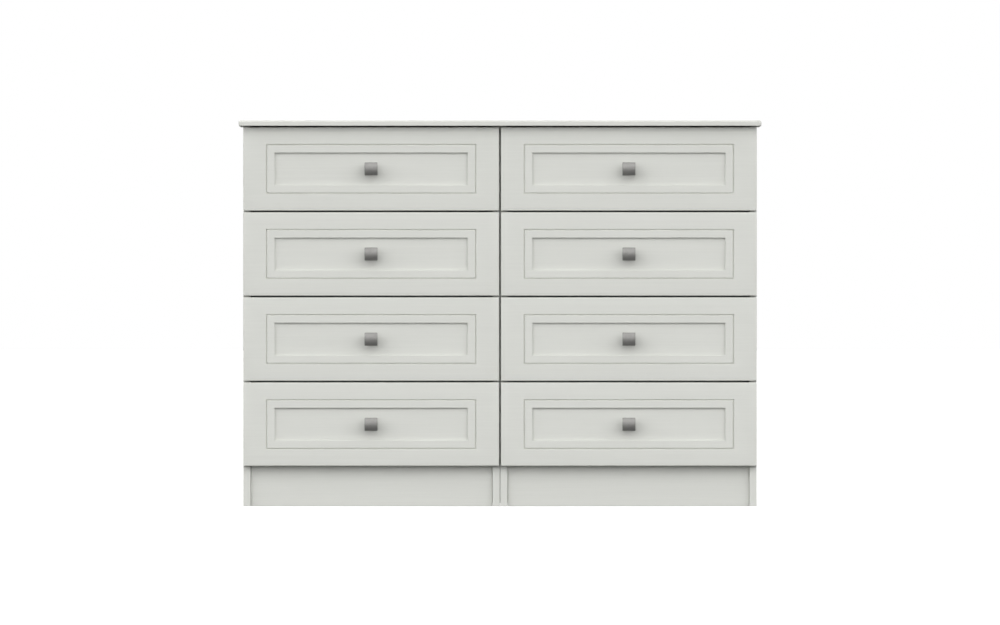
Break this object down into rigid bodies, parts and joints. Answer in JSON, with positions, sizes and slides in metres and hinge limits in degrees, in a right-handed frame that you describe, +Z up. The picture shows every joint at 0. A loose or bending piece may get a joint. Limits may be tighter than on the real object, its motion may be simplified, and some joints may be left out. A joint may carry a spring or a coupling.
{
  "type": "chest of drawers",
  "caption": "Wide double chest of drawers in pale grey: two stacks of moulded-front drawers with small square metal knobs under one shared top, on a recessed plinth.",
  "frame": {"origin": "on the floor, at the middle of the plan of the whole chest, knobs included", "axes": "+X to the viewer's right along the width, +Y from the drawer fronts to the back, +Z up; the drawers open towards -Y"},
  "size_m": [1.15, 0.4228, 0.849],
  "materials": {
    "carcase_foil": "satin",
    "front_foil": "satin",
    "drawer_box_foil": "satin",
    "drawer_bottom_board": "matte",
    "back_hardboard": "matte",
    "runner_plastic": "satin",
    "satin_nickel": "satin"
  },
  "bodies": {
    "carcase": {"left_back_panel": "back_hardboard", "left_base_panel": "carcase_foil", "left_inner_side": "carcase_foil", "left_outer_side": "carcase_foil", "left_plinth": "carcase_foil", "left_runner_1_inner": "runner_plastic", "left_runner_1_outer": "runner_plastic", "left_runner_2_inner": "runner_plastic", "left_runner_2_outer": "runner_plastic", "left_runner_3_inner": "runner_plastic", "left_runner_3_outer": "runner_plastic", "left_runner_4_inner": "runner_plastic", "left_runner_4_outer": "runner_plastic", "right_back_panel": "back_hardboard", "right_base_panel": "carcase_foil", "right_inner_side": "carcase_foil", "right_outer_side": "carcase_foil", "right_plinth": "carcase_foil", "right_runner_1_inner": "runner_plastic", "right_runner_1_outer": "runner_plastic", "right_runner_2_inner": "runner_plastic", "right_runner_2_outer": "runner_plastic", "right_runner_3_inner": "runner_plastic", "right_runner_3_outer": "runner_plastic", "right_runner_4_inner": "runner_plastic", "right_runner_4_outer": "runner_plastic", "top_panel": "carcase_foil"},
    "left_drawer_1": {"left_drawer_1_front": "front_foil", "left_drawer_1_box": "drawer_box_foil", "left_drawer_1_bottom": "drawer_bottom_board", "left_drawer_1_knob": "satin_nickel"},
    "left_drawer_2": {"left_drawer_2_front": "front_foil", "left_drawer_2_box": "drawer_box_foil", "left_drawer_2_bottom": "drawer_bottom_board", "left_drawer_2_knob": "satin_nickel"},
    "left_drawer_3": {"left_drawer_3_front": "front_foil", "left_drawer_3_box": "drawer_box_foil", "left_drawer_3_bottom": "drawer_bottom_board", "left_drawer_3_knob": "satin_nickel"},
    "left_drawer_4": {"left_drawer_4_front": "front_foil", "left_drawer_4_box": "drawer_box_foil", "left_drawer_4_bottom": "drawer_bottom_board", "left_drawer_4_knob": "satin_nickel"},
    "right_drawer_1": {"right_drawer_1_front": "front_foil", "right_drawer_1_box": "drawer_box_foil", "right_drawer_1_bottom": "drawer_bottom_board", "right_drawer_1_knob": "satin_nickel"},
    "right_drawer_2": {"right_drawer_2_front": "front_foil", "right_drawer_2_box": "drawer_box_foil", "right_drawer_2_bottom": "drawer_bottom_board", "right_drawer_2_knob": "satin_nickel"},
    "right_drawer_3": {"right_drawer_3_front": "front_foil", "right_drawer_3_box": "drawer_box_foil", "right_drawer_3_bottom": "drawer_bottom_board", "right_drawer_3_knob": "satin_nickel"},
    "right_drawer_4": {"right_drawer_4_front": "front_foil", "right_drawer_4_box": "drawer_box_foil", "right_drawer_4_bottom": "drawer_bottom_board", "right_drawer_4_knob": "satin_nickel"}
  },
  "joints": [
    {"name": "left_drawer_1_slide", "type": "slide", "parent": "carcase", "child": "left_drawer_1", "axis": [0, -1, 0], "range_m": [0, 0.25]},
    {"name": "left_drawer_2_slide", "type": "slide", "parent": "carcase", "child": "left_drawer_2", "axis": [0, -1, 0], "range_m": [0, 0.25]},
    {"name": "left_drawer_3_slide", "type": "slide", "parent": "carcase", "child": "left_drawer_3", "axis": [0, -1, 0], "range_m": [0, 0.25]},
    {"name": "left_drawer_4_slide", "type": "slide", "parent": "carcase", "child": "left_drawer_4", "axis": [0, -1, 0], "range_m": [0, 0.25]},
    {"name": "right_drawer_1_slide", "type": "slide", "parent": "carcase", "child": "right_drawer_1", "axis": [0, -1, 0], "range_m": [0, 0.25]},
    {"name": "right_drawer_2_slide", "type": "slide", "parent": "carcase", "child": "right_drawer_2", "axis": [0, -1, 0], "range_m": [0, 0.25]},
    {"name": "right_drawer_3_slide", "type": "slide", "parent": "carcase", "child": "right_drawer_3", "axis": [0, -1, 0], "range_m": [0, 0.25]},
    {"name": "right_drawer_4_slide", "type": "slide", "parent": "carcase", "child": "right_drawer_4", "axis": [0, -1, 0], "range_m": [0, 0.25]}
  ]
}
